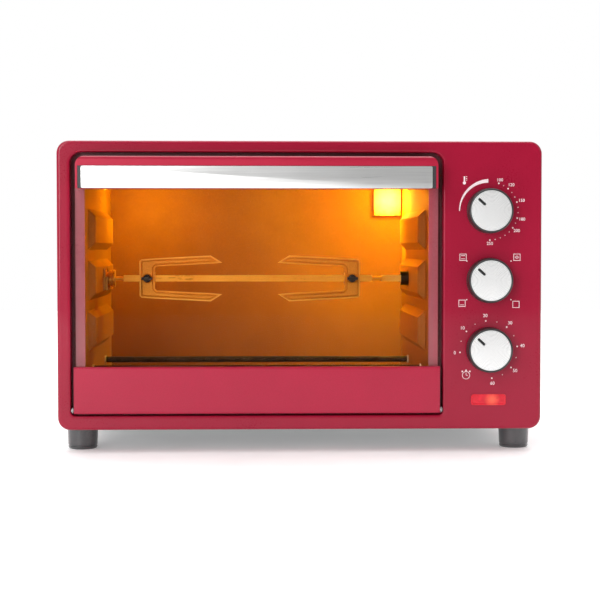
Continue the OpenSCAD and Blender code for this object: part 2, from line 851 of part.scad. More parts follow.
module door_inner_frame() color(red) {
    x0 = door_x0 + side_nest;
    x1 = door_x1 - side_nest;
    z0 = door_z0 + side_nest;
    z1 = door_z1 - side_nest;
    wx0 = door_x0 + window_border;
    wx1 = door_x1 - window_border;
    difference() {
        union() {
            difference() {
                plate(pane_y, door_back) rounded(x0, z0, x1, z1, 7, 1);
                plate(pane_y + sheet_t, door_back + 1)
                    rounded(x0 + sheet_t, z0 + sheet_t, x1 - sheet_t, z1 - sheet_t, 6.2, 0.6);
            }
            box([wx0 - sheet_t, pane_y + sheet_t - eps, window_z0 - sheet_t],
                [wx1 + sheet_t, pane_y + 3, window_z1 + sheet_t]);
            link_ear();
            on_right() link_ear();
        }
        box([wx0, pane_y - 1, window_z0], [wx1, door_back + 1, window_z1]);
        for (x = door_screw_x) for (z = [screw_top_z, screw_low_z]) rod_y(x, z, pane_y - 1, pane_y + 2, 2.1);
        link_notch();
        on_right() link_notch();
    }
}

// Room in the bottom flange for the link when the door lies open
module link_notch() {
    box([link_x - 0.7, panel_back, door_z0], [link_x + link_t + 0.7, door_back + 1, door_z0 + 4]);
}

module door_glass() color([0.75, 0.72, 0.72, 0.4]) {
    box([door_x0, glass_y0, glass_z0], [door_x1, glass_y1, glass_z1]);
}

module door_lower_panel() color(red) {
    t = 1;
    edge = 2;
    difference() {
        union() {
            difference() {
                bar(door_x0, door_x1) {
                    translate([-door_proud + edge, door_z0])
                        square([panel_back + door_proud - edge, lower_panel_h]);
                    translate([-door_proud, door_z0 + edge])
                        square([panel_back, lower_panel_h - 2 * edge]);
                    for (z = [door_z0 + edge, panel_top - edge])
                        translate([-door_proud + edge, z]) circle(r = edge);
                }
                box([door_x0 + t, -door_proud + t, door_z0 + t], [door_x1 - t, 9, panel_top - t]);
            }
            for (x = door_screw_x) rod_y(x, screw_low_z, -door_proud + t - eps, pane_y - 0.1, 4);
        }
        box([door_x0 - 1, glass_y0 - 0.1, glass_z0 - 0.5], [door_x1 + 1, 9, panel_top + 1]);
        for (x = door_screw_x) rod_y(x, screw_low_z, -1, pane_y + 1, 1.95);
        for (x = [door_x0, door_x1]) rod_x(hinge_y, hinge_z, x - 2, x + 2, pin_r + running);
    }
}

module door_handle_rail() color(red) {
    wall_y = -rail_reach + grip_t + rail_front_wall;
    back_y = glass_y0 - 0.1;
    edge = 3;
    difference() {
        intersection() {
            union() {
                bar(rail_x0, rail_x1) {
                    translate([-rail_reach, rail_z0]) square([wall_y + rail_reach, rail_h - edge]);
                    translate([-rail_reach + edge, door_z1 - rail_wall])
                        square([back_y + rail_reach - edge, rail_wall]);
                    translate([-rail_reach + edge, door_z1 - edge]) circle(r = edge);
                    translate([back_y - rail_back_t, rail_z0]) square([rail_back_t, rail_h]);
                    translate([back_y - eps, glass_z1 + 0.6])
                        square([pane_y - 0.1 - back_y, door_z1 - glass_z1 - 0.6]);
                }
                for (x = [rail_x0, rail_x1 - rail_wall])
                    box([x, -rail_reach + 0.5, rail_z0], [x + rail_wall, back_y, door_z1 - 1]);
            }
            plate(-rail_reach - 1, pane_y) rounded(rail_x0, rail_z0 - 1, rail_x1, door_z1, 8.5, 0.5);
        }
        box([rail_x0 + 2, -rail_reach - 1, rail_z0 - 1], [rail_x1 - 2, -rail_reach + grip_t, grip_top]);
        for (x = door_screw_x) rod_y(x, screw_top_z, back_y - 2, pane_y + 1, 1.95);
    }
}

module handle_grip_plate() color(dark) {
    box([rail_x0 + 2.1, -rail_reach, rail_z0], [rail_x1 - 2.1, -rail_reach + grip_t, grip_top - 0.1]);
}

module handle_steel_strip() color(silver) {
    box([rail_x0 + 5.5, -rail_reach - strip_t, rail_z0], [rail_x1 - 5.5, -rail_reach, grip_top - 0.4]);
}

module door_screws() color(steel) {
    head_y = pane_y + sheet_t;
    for (x = door_screw_x) for (z = [screw_top_z, screw_low_z]) {
        rod_y(x, z, head_y, head_y + 2.2, 3.8);
        rod_y(x, z, 1, head_y + eps, 1.9);
    }
}

module door_hinge_pin() {
    rod_x(hinge_y, hinge_z, door_x0 - tab_gap - tab_t - 0.6, door_x0 + 5, pin_r);
    rod_x(hinge_y, hinge_z, door_x0 + 1.1, door_x0 + 2.2, pin_r + 0.6);
}

module door_hinge_pins() color(silver) {
    door_hinge_pin();
    on_right() door_hinge_pin();
}

/* Dial knobs, each with its own shaft and silver face */

module pointer_slot(width, z0, z1) {
    r0 = 0.4 * knob_cap_r;
    r1 = 0.88 * knob_cap_r;
    translate([-width / 2, r0, z0]) cube([width, r1 - r0, z1 - z0]);
}

// Puts a knob drawn along +Z onto its shaft, facing the front
module at_dial(z) {
    translate([knob_x, -knob_gap, z]) rotate([90, 0, 0]) rotate([0, 0, pointer_angle]) children();
}

// Moulded knob with a D-shaped bore and a raised pointer
module knob(z) color(dark) at_dial(z) {
    rim = 0.9;
    seat = knob_h - cap_t;
    difference() {
        rotate_extrude() polygon([
            [0, 2], [6, 2], [6, knob_h - 4], [knob_r - 3.4, knob_h - 4], [knob_r - 2.4, 0],
            [knob_r, 0], [knob_r - 0.5, knob_h - 2], [knob_r - rim, knob_h - 0.4], [knob_cap_r + 0.3, knob_h],
            [knob_cap_r + 0.1, knob_h], [knob_cap_r + 0.1, seat], [0, seat]]);
        difference() {
            translate([0, 0, 1]) cylinder(r = shaft_r + running, h = seat - 3);
            translate([-5, shaft_r - shaft_flat, 0]) cube([10, 5, knob_h]);
        }
    }
    pointer_slot(2, seat - eps, knob_h);
}

// Silver disc set into the knob's face around the pointer
module knob_cap(z) color(silver) at_dial(z) difference() {
    translate([0, 0, knob_h - cap_t]) cylinder(r = knob_cap_r, h = cap_t - 0.1);
    pointer_slot(2.2, 0, knob_h + 1);
}

// Control shaft with its flat, from inside the control to inside the knob
module dial_shaft(z) color(steel) at_dial(z) difference() {
    back = -knob_gap - cav_y0 - 10;
    tip = knob_h - cap_t - 2.3;
    translate([0, 0, back]) cylinder(r = shaft_r, h = tip - back);
    translate([-5, shaft_r - shaft_flat - running, 1]) cube([10, 5, knob_h]);
}

module temperature_knob() knob(knob_z[0]);

module temperature_knob_cap() knob_cap(knob_z[0]);

module temperature_shaft() dial_shaft(knob_z[0]);

module mode_knob() knob(knob_z[1]);

module mode_knob_cap() knob_cap(knob_z[1]);

module mode_shaft() dial_shaft(knob_z[1]);

module timer_knob() knob(knob_z[2]);

module timer_knob_cap() knob_cap(knob_z[2]);

module timer_shaft() dial_shaft(knob_z[2]);

/* Spit */

module spit_rod() color("#e0c060") {
    s = spit_side / 2;
    rod_x(spit_y, spit_z, bush_x0 + 2, rod_x0 + eps, neck_r);
    box([rod_x0, spit_y - s, spit_z - s], [waist_x0, spit_y + s, spit_z + s]);
    rod_x(spit_y, spit_z, waist_x0 - eps, waist_x0 + waist_w + eps, neck_r + 0.2);
    box([waist_x0 + waist_w, spit_y - s, spit_z - s], [rod_x1, spit_y + s, spit_z + s]);
}

module spit_bush() color("#c9a060") {
    translate([bush_x0, spit_y, spit_z]) rotate([0, 90, 0]) rotate_extrude()
        polygon([[neck_r + 0.02, 0], [bush_r - 0.5, 0], [bush_r, 0.5], [bush_r, 5], [groove_r, 5],
                 [groove_r, 5 + groove_w], [bush_r, 5 + groove_w], [bush_r, 11], [bush_r - 1.5, 11],
                 [bush_r - 1.5, 12], [bush_r, 12], [bush_r, bush_len], [neck_r + 0.02, bush_len]]);
}

module drive_coupling() color(dark) {
    s = (spit_side + 0.4) / 2;
    difference() {
        rod_x(spit_y, spit_z, hub_x0, hub_x0 + hub_len, hub_r);
        box([hub_x0 - 1, spit_y - s, spit_z - s], [hub_web, spit_y + s, spit_z + s]);
    }
    rod_x(spit_y, spit_z, hub_x0 + hub_len - eps, bracket_x + 10, motor_shaft_r);
}

// Two-prong fork, drawn with its base at x = 0 and its prongs toward +X
module fork() {
    half = fork_h / 2;
    spread = 3;
    y1 = fork_y;
    tip = fork_base + prong_len;
    hole = fork_hole / 2;
    difference() {
        union() {
            plate(y1 - fork_t, y1) for (s = [-1, 1]) {
                polygon([[0, 0], [0, s * (half - 3)], [2, s * (half - 1)], [fork_base, s * half],
                         [tip - 12, s * (half + spread)], [tip, s * (half + spread - fork_prong_w + 1)],
                         [tip - 10, s * (half + spread - fork_prong_w)],
                         [fork_base + 2, s * (half - fork_prong_w)],
                         [fork_base, s * (half - fork_prong_w - 2)], [fork_base, 0]]);
            }
            for (x = [0, fork_base - 1.5])
                box([x, y1 - eps, -6], [x + 1.5, spit_y + spit_side / 2 + 3, 6]);
        }
        box([-1, spit_y - hole, -hole], [fork_base + 1, spit_y + hole, hole]);
        rod_y(fork_base / 2, 0, y1 - fork_t - 1, y1 + 1, 2.1);
    }
}

module thumb_screw() {
    front = fork_y - fork_t;
    rod_y(fork_base / 2, 0, front - 0.4, spit_y - spit_side / 2 - 0.02, 2);
    rod_y(fork_base / 2, 0, front - 2.4, front - 0.3, 4);
    box([fork_base / 2 - thumb_r, front - 9, -1.4], [fork_base / 2 + thumb_r, front - 2, 1.4]);
    rod_y(fork_base / 2, 0, front - 6, front - 2.3, 3);
}

module fork_left() color(steel) translate([fork_left_x, 0, spit_z]) fork();

module fork_right() color(steel) translate([fork_right_x, 0, spit_z]) mirror([1, 0, 0]) fork();

module fork_screw_left() color(dark) translate([fork_left_x, 0, spit_z]) thumb_screw();

module fork_screw_right() color(dark) translate([fork_right_x, 0, spit_z]) mirror([1, 0, 0]) thumb_screw();

/* Every node, moved so that the whole object is centred front to back */

module centred() translate([0, face_y, 0]) children();

centred() front_frame();
centred() chassis_plate();
centred() outer_shell();
centred() rear_cover();
centred() base_plate();
centred() foot_front_left();
centred() foot_front_right();
centred() foot_rear_left();
centred() foot_rear_right();
centred() foot_screws();
centred() cavity_left_wall();
centred() cavity_right_wall();
centred() cavity_back_wall();
centred() cavity_ceiling();
centred() cavity_floor();
centred() crumb_tray();
centred() heaters_upper();
centred() heaters_lower();
centred() heater_insulators();
centred() lamp_lens();
centred() lamp_bulb();
centred() lamp_housing();
centred() spit_support();
centred() motor_bracket();
centred() spit_motor();
centred() thermostat();
centred() mode_switch();
centred() timer();
centred() indicator_light();
centred() terminal_block();
centred() cord_gland();
centred() cover_screws();
centred() rear_spacers();
centred() hinge_brackets();
centred() door_springs();
centred() door_inner_frame();
centred() door_glass();
centred() door_lower_panel();
centred() door_handle_rail();
centred() handle_grip_plate();
centred() handle_steel_strip();
centred() door_screws();
centred() door_hinge_pins();
centred() door_links();
centred() temperature_knob();
centred() temperature_knob_cap();
centred() temperature_shaft();
centred() mode_knob();
centred() mode_knob_cap();
centred() mode_shaft();
centred() timer_knob();
centred() timer_knob_cap();
centred() timer_shaft();
centred() spit_rod();
centred() spit_bush();
centred() drive_coupling();
centred() fork_left();
centred() fork_right();
centred() fork_screw_left();
centred() fork_screw_right();
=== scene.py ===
import json
import math
import bmesh
import bpy
from mathutils import Matrix, Vector

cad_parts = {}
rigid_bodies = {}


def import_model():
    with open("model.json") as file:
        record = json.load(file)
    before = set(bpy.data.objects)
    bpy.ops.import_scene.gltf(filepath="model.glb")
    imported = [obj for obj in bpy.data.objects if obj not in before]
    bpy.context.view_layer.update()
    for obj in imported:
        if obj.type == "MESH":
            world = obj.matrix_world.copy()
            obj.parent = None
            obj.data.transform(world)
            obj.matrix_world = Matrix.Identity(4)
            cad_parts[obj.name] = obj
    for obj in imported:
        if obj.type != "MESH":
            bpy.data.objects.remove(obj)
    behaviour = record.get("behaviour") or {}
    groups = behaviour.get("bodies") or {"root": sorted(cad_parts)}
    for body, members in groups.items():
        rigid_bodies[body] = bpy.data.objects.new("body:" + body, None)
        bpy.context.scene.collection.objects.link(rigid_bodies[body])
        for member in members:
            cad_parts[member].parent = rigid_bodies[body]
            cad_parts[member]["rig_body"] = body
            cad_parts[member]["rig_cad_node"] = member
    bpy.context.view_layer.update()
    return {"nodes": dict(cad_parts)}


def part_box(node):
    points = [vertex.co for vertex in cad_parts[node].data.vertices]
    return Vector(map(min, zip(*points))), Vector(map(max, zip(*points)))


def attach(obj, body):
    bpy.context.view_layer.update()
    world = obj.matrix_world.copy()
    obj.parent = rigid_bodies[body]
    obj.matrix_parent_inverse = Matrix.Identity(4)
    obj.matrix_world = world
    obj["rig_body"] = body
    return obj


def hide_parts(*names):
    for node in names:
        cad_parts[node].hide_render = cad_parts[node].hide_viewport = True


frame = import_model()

mm = 0.001


# Front frame: one moulded panel in glossy crimson with the door opening, three dial holes and a
# window for the light. Its rim is rolled over and its skirt slides over the steel shell.
def take(piece):
    """Leaves editing and makes this the one selected piece."""
    if bpy.context.object and bpy.context.object.mode != "OBJECT":
        bpy.ops.object.mode_set(mode="OBJECT")
    bpy.ops.object.select_all(action="DESELECT")
    bpy.context.view_layer.objects.active = piece
    if piece:
        piece.select_set(True)


def start(name, primitive, **sizes):
    """Adds a primitive on its own and opens it for editing with nothing selected."""
    take(None)
    getattr(bpy.ops.mesh, "primitive_" + primitive + "_add")(**sizes)
    piece = bpy.context.object
    piece.name = name
    bpy.ops.object.transform_apply(location=True, rotation=True, scale=True)
    bpy.ops.object.mode_set(mode="EDIT")
    bpy.ops.mesh.select_all(action="DESELECT")
    return piece


def pick(kind, wanted):
    """Selects the vertices, edges or faces of the piece being edited that pass the test."""
    bpy.ops.mesh.select_mode(type={"verts": "VERT", "edges": "EDGE", "faces": "FACE"}[kind])
    bpy.ops.mesh.select_all(action="DESELECT")
    form = bmesh.from_edit_mesh(bpy.context.object.data)
    for part in getattr(form, kind):
        if wanted(part):
            part.select_set(True)
    form.select_flush_mode()
    bmesh.update_edit_mesh(bpy.context.object.data)


def draw_out(x=0, y=0, z=0, size=None):
    """Extrudes the selected region, then scales its new end."""
    bpy.ops.mesh.extrude_region_move(TRANSFORM_OT_translate={"value": (x, y, z)})
    if size:
        bpy.ops.transform.resize(value=size)


def close_up(piece, corner=30):
    """Ends the editing of a piece: merged, faces outward, smooth except at its corners."""
    bpy.ops.mesh.select_all(action="SELECT")
    bpy.ops.mesh.remove_doubles(threshold=1e-6)
    bpy.ops.mesh.normals_make_consistent(inside=False)
    take(piece)
    bpy.ops.object.shade_smooth_by_angle(angle=math.radians(corner))


def put(piece, place):
    """Moves a piece to its place, and leaves the place in its mesh."""
    take(piece)
    piece.matrix_world = place @ piece.matrix_world
    bpy.ops.object.transform_apply(location=True, rotation=True, scale=True)


def lift(part, name):
    """A copy of a CAD part to work on, merged and opened for editing."""
    take(frame["nodes"][part])
    bpy.ops.object.duplicate()
    piece = bpy.context.object
    piece.name = name
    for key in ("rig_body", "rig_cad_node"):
        del piece[key]
    bpy.ops.object.mode_set(mode="EDIT")
    bpy.ops.mesh.select_all(action="SELECT")
    bpy.ops.mesh.remove_doubles(threshold=1e-6)
    bpy.ops.mesh.customdata_custom_splitnormals_clear()
    return piece


def round_over(width, steps, wanted):
    """Bevels the corners of the piece being edited whose two ends pass the test."""
    pick("edges", lambda edge: len(edge.link_faces) == 2 and edge.calc_face_angle() > 0.5
         and all(wanted(v.co) for v in edge.verts))
    bpy.ops.mesh.bevel(offset=width, segments=steps, profile=0.5, affect="EDGES", clamp_overlap=True)


def tone(code):
    """A paint colour written as #rrggbb, as the shader wants it."""
    parts = [int(code[i:i + 2], 16) / 255 for i in (1, 3, 5)]
    return [p / 12.92 if p <= 0.04045 else ((p + 0.055) / 1.055) ** 2.4 for p in parts] + [1]


def node(material, kind, inputs={}, **settings):
    """One shader node with its settings, its inputs set or linked."""
    made = material.node_tree.nodes.new("ShaderNode" + kind)
    for key, value in settings.items():
        setattr(made, key, value)
    for key, value in inputs.items():
        if isinstance(value, bpy.types.NodeSocket):
            material.node_tree.links.new(value, made.inputs[key])
        else:
            made.inputs[key].default_value = value
    return made


def ramp(material, factor, low, high, start=0.35, end=0.65):
    """Goes from one colour to another."""
    made = node(material, "ValToRGB", {"Fac": factor})
    for stop, place, colour in zip(made.color_ramp.elements, (start, end), (low, high)):
        stop.position, stop.color = place, colour
    return made.outputs["Color"]


def finish(name, dark, light, rough, grain=900, patch=14, stretch=(1, 1, 1), bump=0.15, depth=0.05,
           worn=None, soil=None, spread=0.15, centre=(0, 0, 0), rings=0, **shader):
    """A finish whose colour, roughness and relief vary: fine grain over broad patches, with worn
    edges and soiled patches where they are given, and turning marks round centre."""
    material = bpy.data.materials.new(name)
    material.use_nodes = True
    skin = material.node_tree.nodes["Principled BSDF"]
    at = node(material, "TexCoord").outputs["Object"]
    laid = node(material, "Mapping", {"Vector": at, "Scale": stretch}).outputs["Vector"]
    fine = node(material, "TexNoise", {"Vector": laid, "Scale": grain, "Detail": 3}).outputs[0]
    broad = node(material, "TexNoise", {"Vector": at, "Scale": patch, "Detail": 4}).outputs[0]
    if rings:
        turned_at = node(material, "Mapping", {"Vector": at, "Location": [-c for c in centre]}).outputs[0]
        fine = node(material, "TexWave", {"Vector": turned_at, "Scale": rings, "Distortion": 2.0,
                                          "Detail": 4, "Detail Scale": 8}, wave_type="RINGS",
                    rings_direction="Y").outputs["Fac"]
    both = node(material, "Mix", {"Factor": 0.5, "A": fine, "B": broad}).outputs[0]
    colour = ramp(material, both, tone(dark), tone(light))
    if soil:
        stain = node(material, "TexNoise", {"Vector": at, "Scale": patch * 2.2, "Detail": 8,
                                            "Roughness": 0.7}).outputs[0]
        amount = ramp(material, stain, (0, 0, 0, 1), (0.6, 0.6, 0.6, 1), 0.52, 0.8)
        colour = node(material, "Mix", {"Factor": amount, "A": colour, "B": tone(soil)},
                      data_type="RGBA").outputs[2]
    if worn:
        edge = node(material, "NewGeometry").outputs["Pointiness"]
        amount = ramp(material, edge, (0, 0, 0, 1), (0.6, 0.6, 0.6, 1), 0.52, 0.62)
        colour = node(material, "Mix", {"Factor": amount, "A": colour, "B": tone(worn)},
                      data_type="RGBA").outputs[2]
    gloss = node(material, "MapRange", {"Value": both, "From Min": 0.3, "From Max": 0.7,
                                        "To Min": rough * (1 - spread), "To Max": rough * (1 + spread)})
    relief = node(material, "Bump", {"Height": fine, "Strength": bump, "Distance": depth * mm})
    for socket, value in (("Base Color", colour), ("Roughness", gloss.outputs[0]),
                          ("Normal", relief.outputs[0])):
        material.node_tree.links.new(value, skin.inputs[socket])
    for key, value in shader.items():
        skin.inputs[key.replace("_", " ")].default_value = value
    return material


def settle(piece, material, body):
    """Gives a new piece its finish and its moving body."""
    piece.data.materials.clear()
    piece.data.materials.append(material)
    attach(piece, body)


def dress(parts, material, edge=0.15):
    """Gives CAD parts their finish, with their corners eased."""
    for part in parts.split():
        piece = frame["nodes"][part]
        piece.data.materials.clear()
        piece.data.materials.append(material)
        take(piece)
        bpy.ops.mesh.customdata_custom_splitnormals_clear()
        piece.data.shade_smooth()
        piece.modifiers.new("merged", "WELD").merge_threshold = 1e-6
        if edge:
            eased = piece.modifiers.new("eased", "BEVEL")
            eased.width, eased.segments, eased.limit_method = edge * mm, 2, "ANGLE"
            eased.angle_limit = math.radians(35)
            piece.modifiers.new("even", "WEIGHTED_NORMAL").weight = 90
        else:
            piece.modifiers.new("corners", "EDGE_SPLIT").split_angle = math.radians(28)


rim_low, rim_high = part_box("front_frame")
face_y = rim_low.y
rim_mid = (rim_low.z + rim_high.z) / 2
crimson = finish("crimson_gloss", "#920a2c", "#9c0c30", 0.3, grain=700, bump=0.06, depth=0.02,
                 Coat_Weight=0.28, Coat_Roughness=0.05, Specular_IOR_Level=0.2)


rim_round, opening_round = 3 * mm, 1.1 * mm
rim_reach, opening_end = 0.96, 140 * mm


def reach(co):
    """How far out a point of the frame lies: 0 at its middle, 1 at its outer edge."""
    return max(abs(co.x) / rim_high.x, abs(co.z - rim_mid) / (rim_high.z - rim_mid))


def on_rim(co):
    """True on the frame's outer front corner."""
    return abs(co.y - face_y) < 1e-5 and reach(co) > rim_reach


def on_opening(co):
    """True on the front corner of the door opening."""
    return abs(co.y - face_y) < 1e-5 and reach(co) < rim_reach and co.x < opening_end


front = lift("front_frame", "crimson_front_frame")
bpy.ops.mesh.dissolve_limited(angle_limit=math.radians(0.5))
pick("faces", lambda face: face.normal.y < -0.99 and abs(face.calc_center_median().y - face_y) < 1e-5)
bpy.ops.mesh.inset(thickness=rim_round + 0.3 * mm)
round_over(rim_round, 6, on_rim)
round_over(opening_round, 3, on_opening)
close_up(front, 40)
settle(front, crimson, "oven")
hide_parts("front_frame")

# Housing: a steel shell folded over the top and sides and painted crimson, a painted rear cover
# and a bare galvanised base plate, all held by zinc-plated cross-head screws.
shell_paint = finish("shell_paint", "#8d0d26", "#9c102b", 0.36, grain=1500, bump=0.25, depth=0.03,
                     Coat_Weight=0.35, Coat_Roughness=0.2)
galvanised = finish("galvanised_sheet", "#8c8f91", "#b2b5b6", 0.42, grain=60, patch=30, bump=0.05,
                    Metallic=1.0, soil="#77756f")
zinc = finish("zinc_plate", "#9a9a96", "#c3c3bd", 0.34, grain=2500, patch=90, worn="#d8d8d4", Metallic=1.0)
dress("outer_shell", shell_paint, 0.3)
dress("rear_cover", shell_paint, 0)
dress("base_plate hinge_brackets motor_bracket lamp_housing terminal_block", galvanised, 0.1)
dress("foot_screws door_screws", zinc, 0.1)
# The chassis plate's dark maroon is painted shade: it makes the gap round the door read dark.
chassis_painted_shade = finish("chassis_painted_shade", "#4a0613", "#57081a", 0.42, grain=1500, bump=0.25, depth=0.03,
                       worn="#6e1226")
dress("chassis_plate", chassis_painted_shade, 0.1)


# Feet and wall stops: black moulded plastic. Each foot is a tapered cup with a rounded sole and a
# step under the base plate, and a screw from below holds it.
def turned(name, rings, sides=64):
    """A round piece raised ring by ring along +Z, each ring a height and a radius in mm."""
    height, radius = rings[0]
    piece = start(name, "circle", vertices=sides, radius=radius * mm, fill_type="NGON",
                  location=(0, 0, height * mm))
    bpy.ops.mesh.select_all(action="SELECT")
    for next_height, next_radius in rings[1:]:
        size = next_radius / radius
        draw_out(z=(next_height - height) * mm, size=(size, size, 1))
        height, radius = next_height, next_radius
    return piece


def again(piece, name):
    """Another of the same piece with its own mesh."""
    take(piece)
    bpy.ops.object.duplicate()
    twin = bpy.context.object
    twin.name = name
    return twin


black_plastic = finish("black_plastic", "#3e3e40", "#4e4e50", 0.28, grain=1600, bump=0.3, depth=0.04,
                       worn="#3c3c3e", Coat_Weight=0.6, Coat_Roughness=0.12)
foot_low, foot_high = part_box("foot_front_left")
foot_tall = (foot_high.z - foot_low.z) / mm
foot_r = (foot_high.x - foot_low.x) / 2 / mm
foot = turned("foot_form", [(0.4, 3.2), (0, 3.4), (0, foot_r - 2.6), (0.5, foot_r - 1.6), (1.6, foot_r - 1),
                            (2.6, foot_r - 0.97), (3, foot_r - 1.4), (3.6, foot_r - 1.4),
                            (4, foot_r - 0.85), (foot_tall - 3, foot_r - 0.15),
                            (foot_tall - 2.6, foot_r - 0.5), (foot_tall, foot_r - 0.5)])
close_up(foot)
for place in ("front_left", "front_right", "rear_left", "rear_right"):
    low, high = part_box("foot_" + place)
    one = again(foot, "rubber_foot_" + place)
    put(one, Matrix.Translation(((low.x + high.x) / 2, (low.y + high.y) / 2, low.z)))
    settle(one, black_plastic, "oven")
    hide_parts("foot_" + place)
bpy.data.objects.remove(foot)
dress("rear_spacers cord_gland", black_plastic, 0.3)

# Cover screws: zinc-plated pan heads with a square recess, set round the edge of the rear cover.
screw = turned("screw_form", [(-4, 1.4), (0, 1.4), (0, 3.4), (0.8, 3.4), (1.5, 2.7), (1.8, 1.8)], 32)
pick("faces", lambda face: face.normal.z > 0.9 and face.calc_center_median().z > 1.7 * mm)
bpy.ops.mesh.inset(thickness=0.5 * mm)
draw_out(z=-0.9 * mm, size=(0.5, 0.5, 1))
close_up(screw)
cover_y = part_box("rear_cover")[1].y
head_wide = 9 * mm
heads = []
for v in frame["nodes"]["cover_screws"].data.vertices:
    spot = Vector((v.co.x, v.co.z))
    if v.co.y > cover_y + 0.5 * mm and not any((spot - head).length < head_wide for head in heads):
        heads.append(spot)
parts = []
for number, head in enumerate(heads):
    one = again(screw, "cover_screw_%d" % number)
    put(one, Matrix.Translation((head.x, cover_y, head.y)) @ Matrix.Rotation(math.radians(-90), 4, "X"))
    parts.append(one)
take(parts[0])
for one in parts:
    one.select_set(True)
bpy.ops.object.join()
parts[0].name = "cover_screw_heads"
settle(parts[0], zinc, "oven")
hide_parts("cover_screws")
bpy.data.objects.remove(screw)

# Dials: a dark grey moulded knob with fine grip flutes round its skirt, a spun-brushed silver face
# pressed into it, and a raised black pointer bar. Each pushes onto its control's shaft.
dial_names = {"temperature": "temperature_dial", "mode": "mode_dial", "timer": "timer_dial"}
knob_low, knob_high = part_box("temperature_knob")
knob_tall = (knob_high.y - knob_low.y) / mm
knob_r = (knob_high.x - knob_low.x) / 2 / mm
cap_low, cap_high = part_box("temperature_knob_cap")
cap_r = (cap_high.x - cap_low.x) / 2 / mm
seat = knob_tall - 1
pointer_turn = math.radians(48)
flutes = 72
knob_plastic = finish("knob_plastic", "#161617", "#232325", 0.34, grain=1800, bump=0.25, depth=0.03,
                      worn="#4a4a4d", Coat_Weight=0.25, Coat_Roughness=0.2)
pointer_black = finish("pointer_black", "#070708", "#101011", 0.3, grain=1800, bump=0.2, depth=0.02,
                       worn="#2c2c2e")

knob = turned("knob_form", [(0, knob_r - 2.4), (0, knob_r - 0.35), (0.35, knob_r),
                            (knob_tall - 2.2, knob_r - 0.5),
                            (knob_tall - 1.2, knob_r - 0.65), (knob_tall - 0.5, knob_r - 1.1),
                            (knob_tall - 0.1, knob_r - 1.7), (knob_tall, cap_r + 0.35),
                            (knob_tall - 0.1, cap_r + 0.15), (seat, cap_r + 0.1)], flutes * 3)
pick("faces", lambda face: abs(face.normal.z) < 0.2 and face.calc_area() > 4e-6 and
     round(math.atan2(face.calc_center_median().y, face.calc_center_median().x)
           / math.tau * flutes * 3 - 0.5) % 3 == 0)
bpy.ops.mesh.inset(thickness=0.08 * mm, use_individual=True)
bpy.ops.transform.shrink_fatten(value=-0.45 * mm)
pick("faces", lambda face: face.normal.z < -0.9 and face.calc_center_median().z < 0.01 * mm
     and face.calc_area() > 1e-4)
bpy.ops.mesh.delete(type="FACE")
pick("edges", lambda edge: edge.is_boundary)
draw_out(z=(knob_tall - 4) * mm, size=(0.97, 0.97, 1))
inner_r, hub_r, bore_r = 18.6, 6, 3.1
for rise, size in ((0, hub_r / inner_r), (6 - knob_tall, 1), (0, bore_r / hub_r), (knob_tall - 5.1, 1)):
    draw_out(z=rise * mm, size=(size, size, 1))
bpy.ops.mesh.edge_face_add()
close_up(knob, 35)

cap = turned("cap_form", [(seat, cap_r), (knob_tall - 0.35, cap_r), (knob_tall - 0.12, cap_r - 0.3),
                          (knob_tall - 0.1, cap_r - 0.6)], 96)
close_up(cap)

pointer_long, pointer_r = 0.48 * cap_r, 1.35
pointer_start = 0.4 * cap_r * mm + pointer_r * mm
pointer = start("pointer_form", "cylinder", vertices=24, radius=pointer_r * mm, depth=0.9 * mm,
                end_fill_type="NGON", location=(0, pointer_start, (knob_tall - 0.42) * mm))
pick("verts", lambda v: v.co.y > pointer_start + 1e-6)
bpy.ops.transform.translate(value=(0, (pointer_long - 2 * pointer_r) * mm, 0))
pick("edges", lambda edge: all(v.co.z > (knob_tall - 0.2) * mm for v in edge.verts))
bpy.ops.mesh.bevel(offset=0.2 * mm, segments=2, affect="EDGES")
close_up(pointer)

dial_centres = {}
for name, body in dial_names.items():
    low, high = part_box(name + "_knob")
    middle = dial_centres[name] = Vector(((low.x + high.x) / 2, high.y, (low.z + high.z) / 2))
    upright = Matrix.Translation(middle) @ Matrix.Rotation(math.radians(90), 4, "X")
    turn = Matrix.Rotation(pointer_turn, 4, "Z")
    grip = again(knob, name + "_dial_grip")
    put(grip, upright @ turn)
    settle(grip, knob_plastic, body)
    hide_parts(name + "_knob")
    face = again(cap, name + "_dial_face")
    put(face, upright @ turn)
    silver = finish(name + "_silver_face", "#dadada", "#ececeb", 0.3, bump=0.12, depth=0.02, rings=260,
                    centre=middle, Metallic=0.45, Anisotropic=0.5)
    settle(face, silver, body)
    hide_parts(name + "_knob_cap")
    bar = again(pointer, name + "_dial_pointer")
    put(bar, upright @ turn)
    settle(bar, pointer_black, body)
for form in (knob, cap, pointer):
    bpy.data.objects.remove(form)

# Dial marks: printed on the front frame in a pinkish white ink. Round dots stand at each step, with
# numbers outside them, a widening heat arc, and small plain signs for heat, the modes and the bell.
ink = finish("dial_ink", "#e9cdd3", "#f6e6e8", 0.5, grain=2500, patch=200, bump=0.2, depth=0.01)
marks = []


def dial_spot(degrees, radius):
    """A point round a dial in mm, the angle clockwise from twelve o'clock."""
    turn = math.radians(degrees)
    return Vector((math.sin(turn) * radius, math.cos(turn) * radius, 0))


def ink_dot(corners, spot, radius):
    """A printed disc."""
    mark = start("mark", "cylinder", vertices=corners, radius=radius * mm, depth=0.06 * mm)
    bpy.ops.mesh.select_all(action="SELECT")
    bpy.ops.transform.translate(value=spot * mm)
    take(mark)
    marks.append(mark)


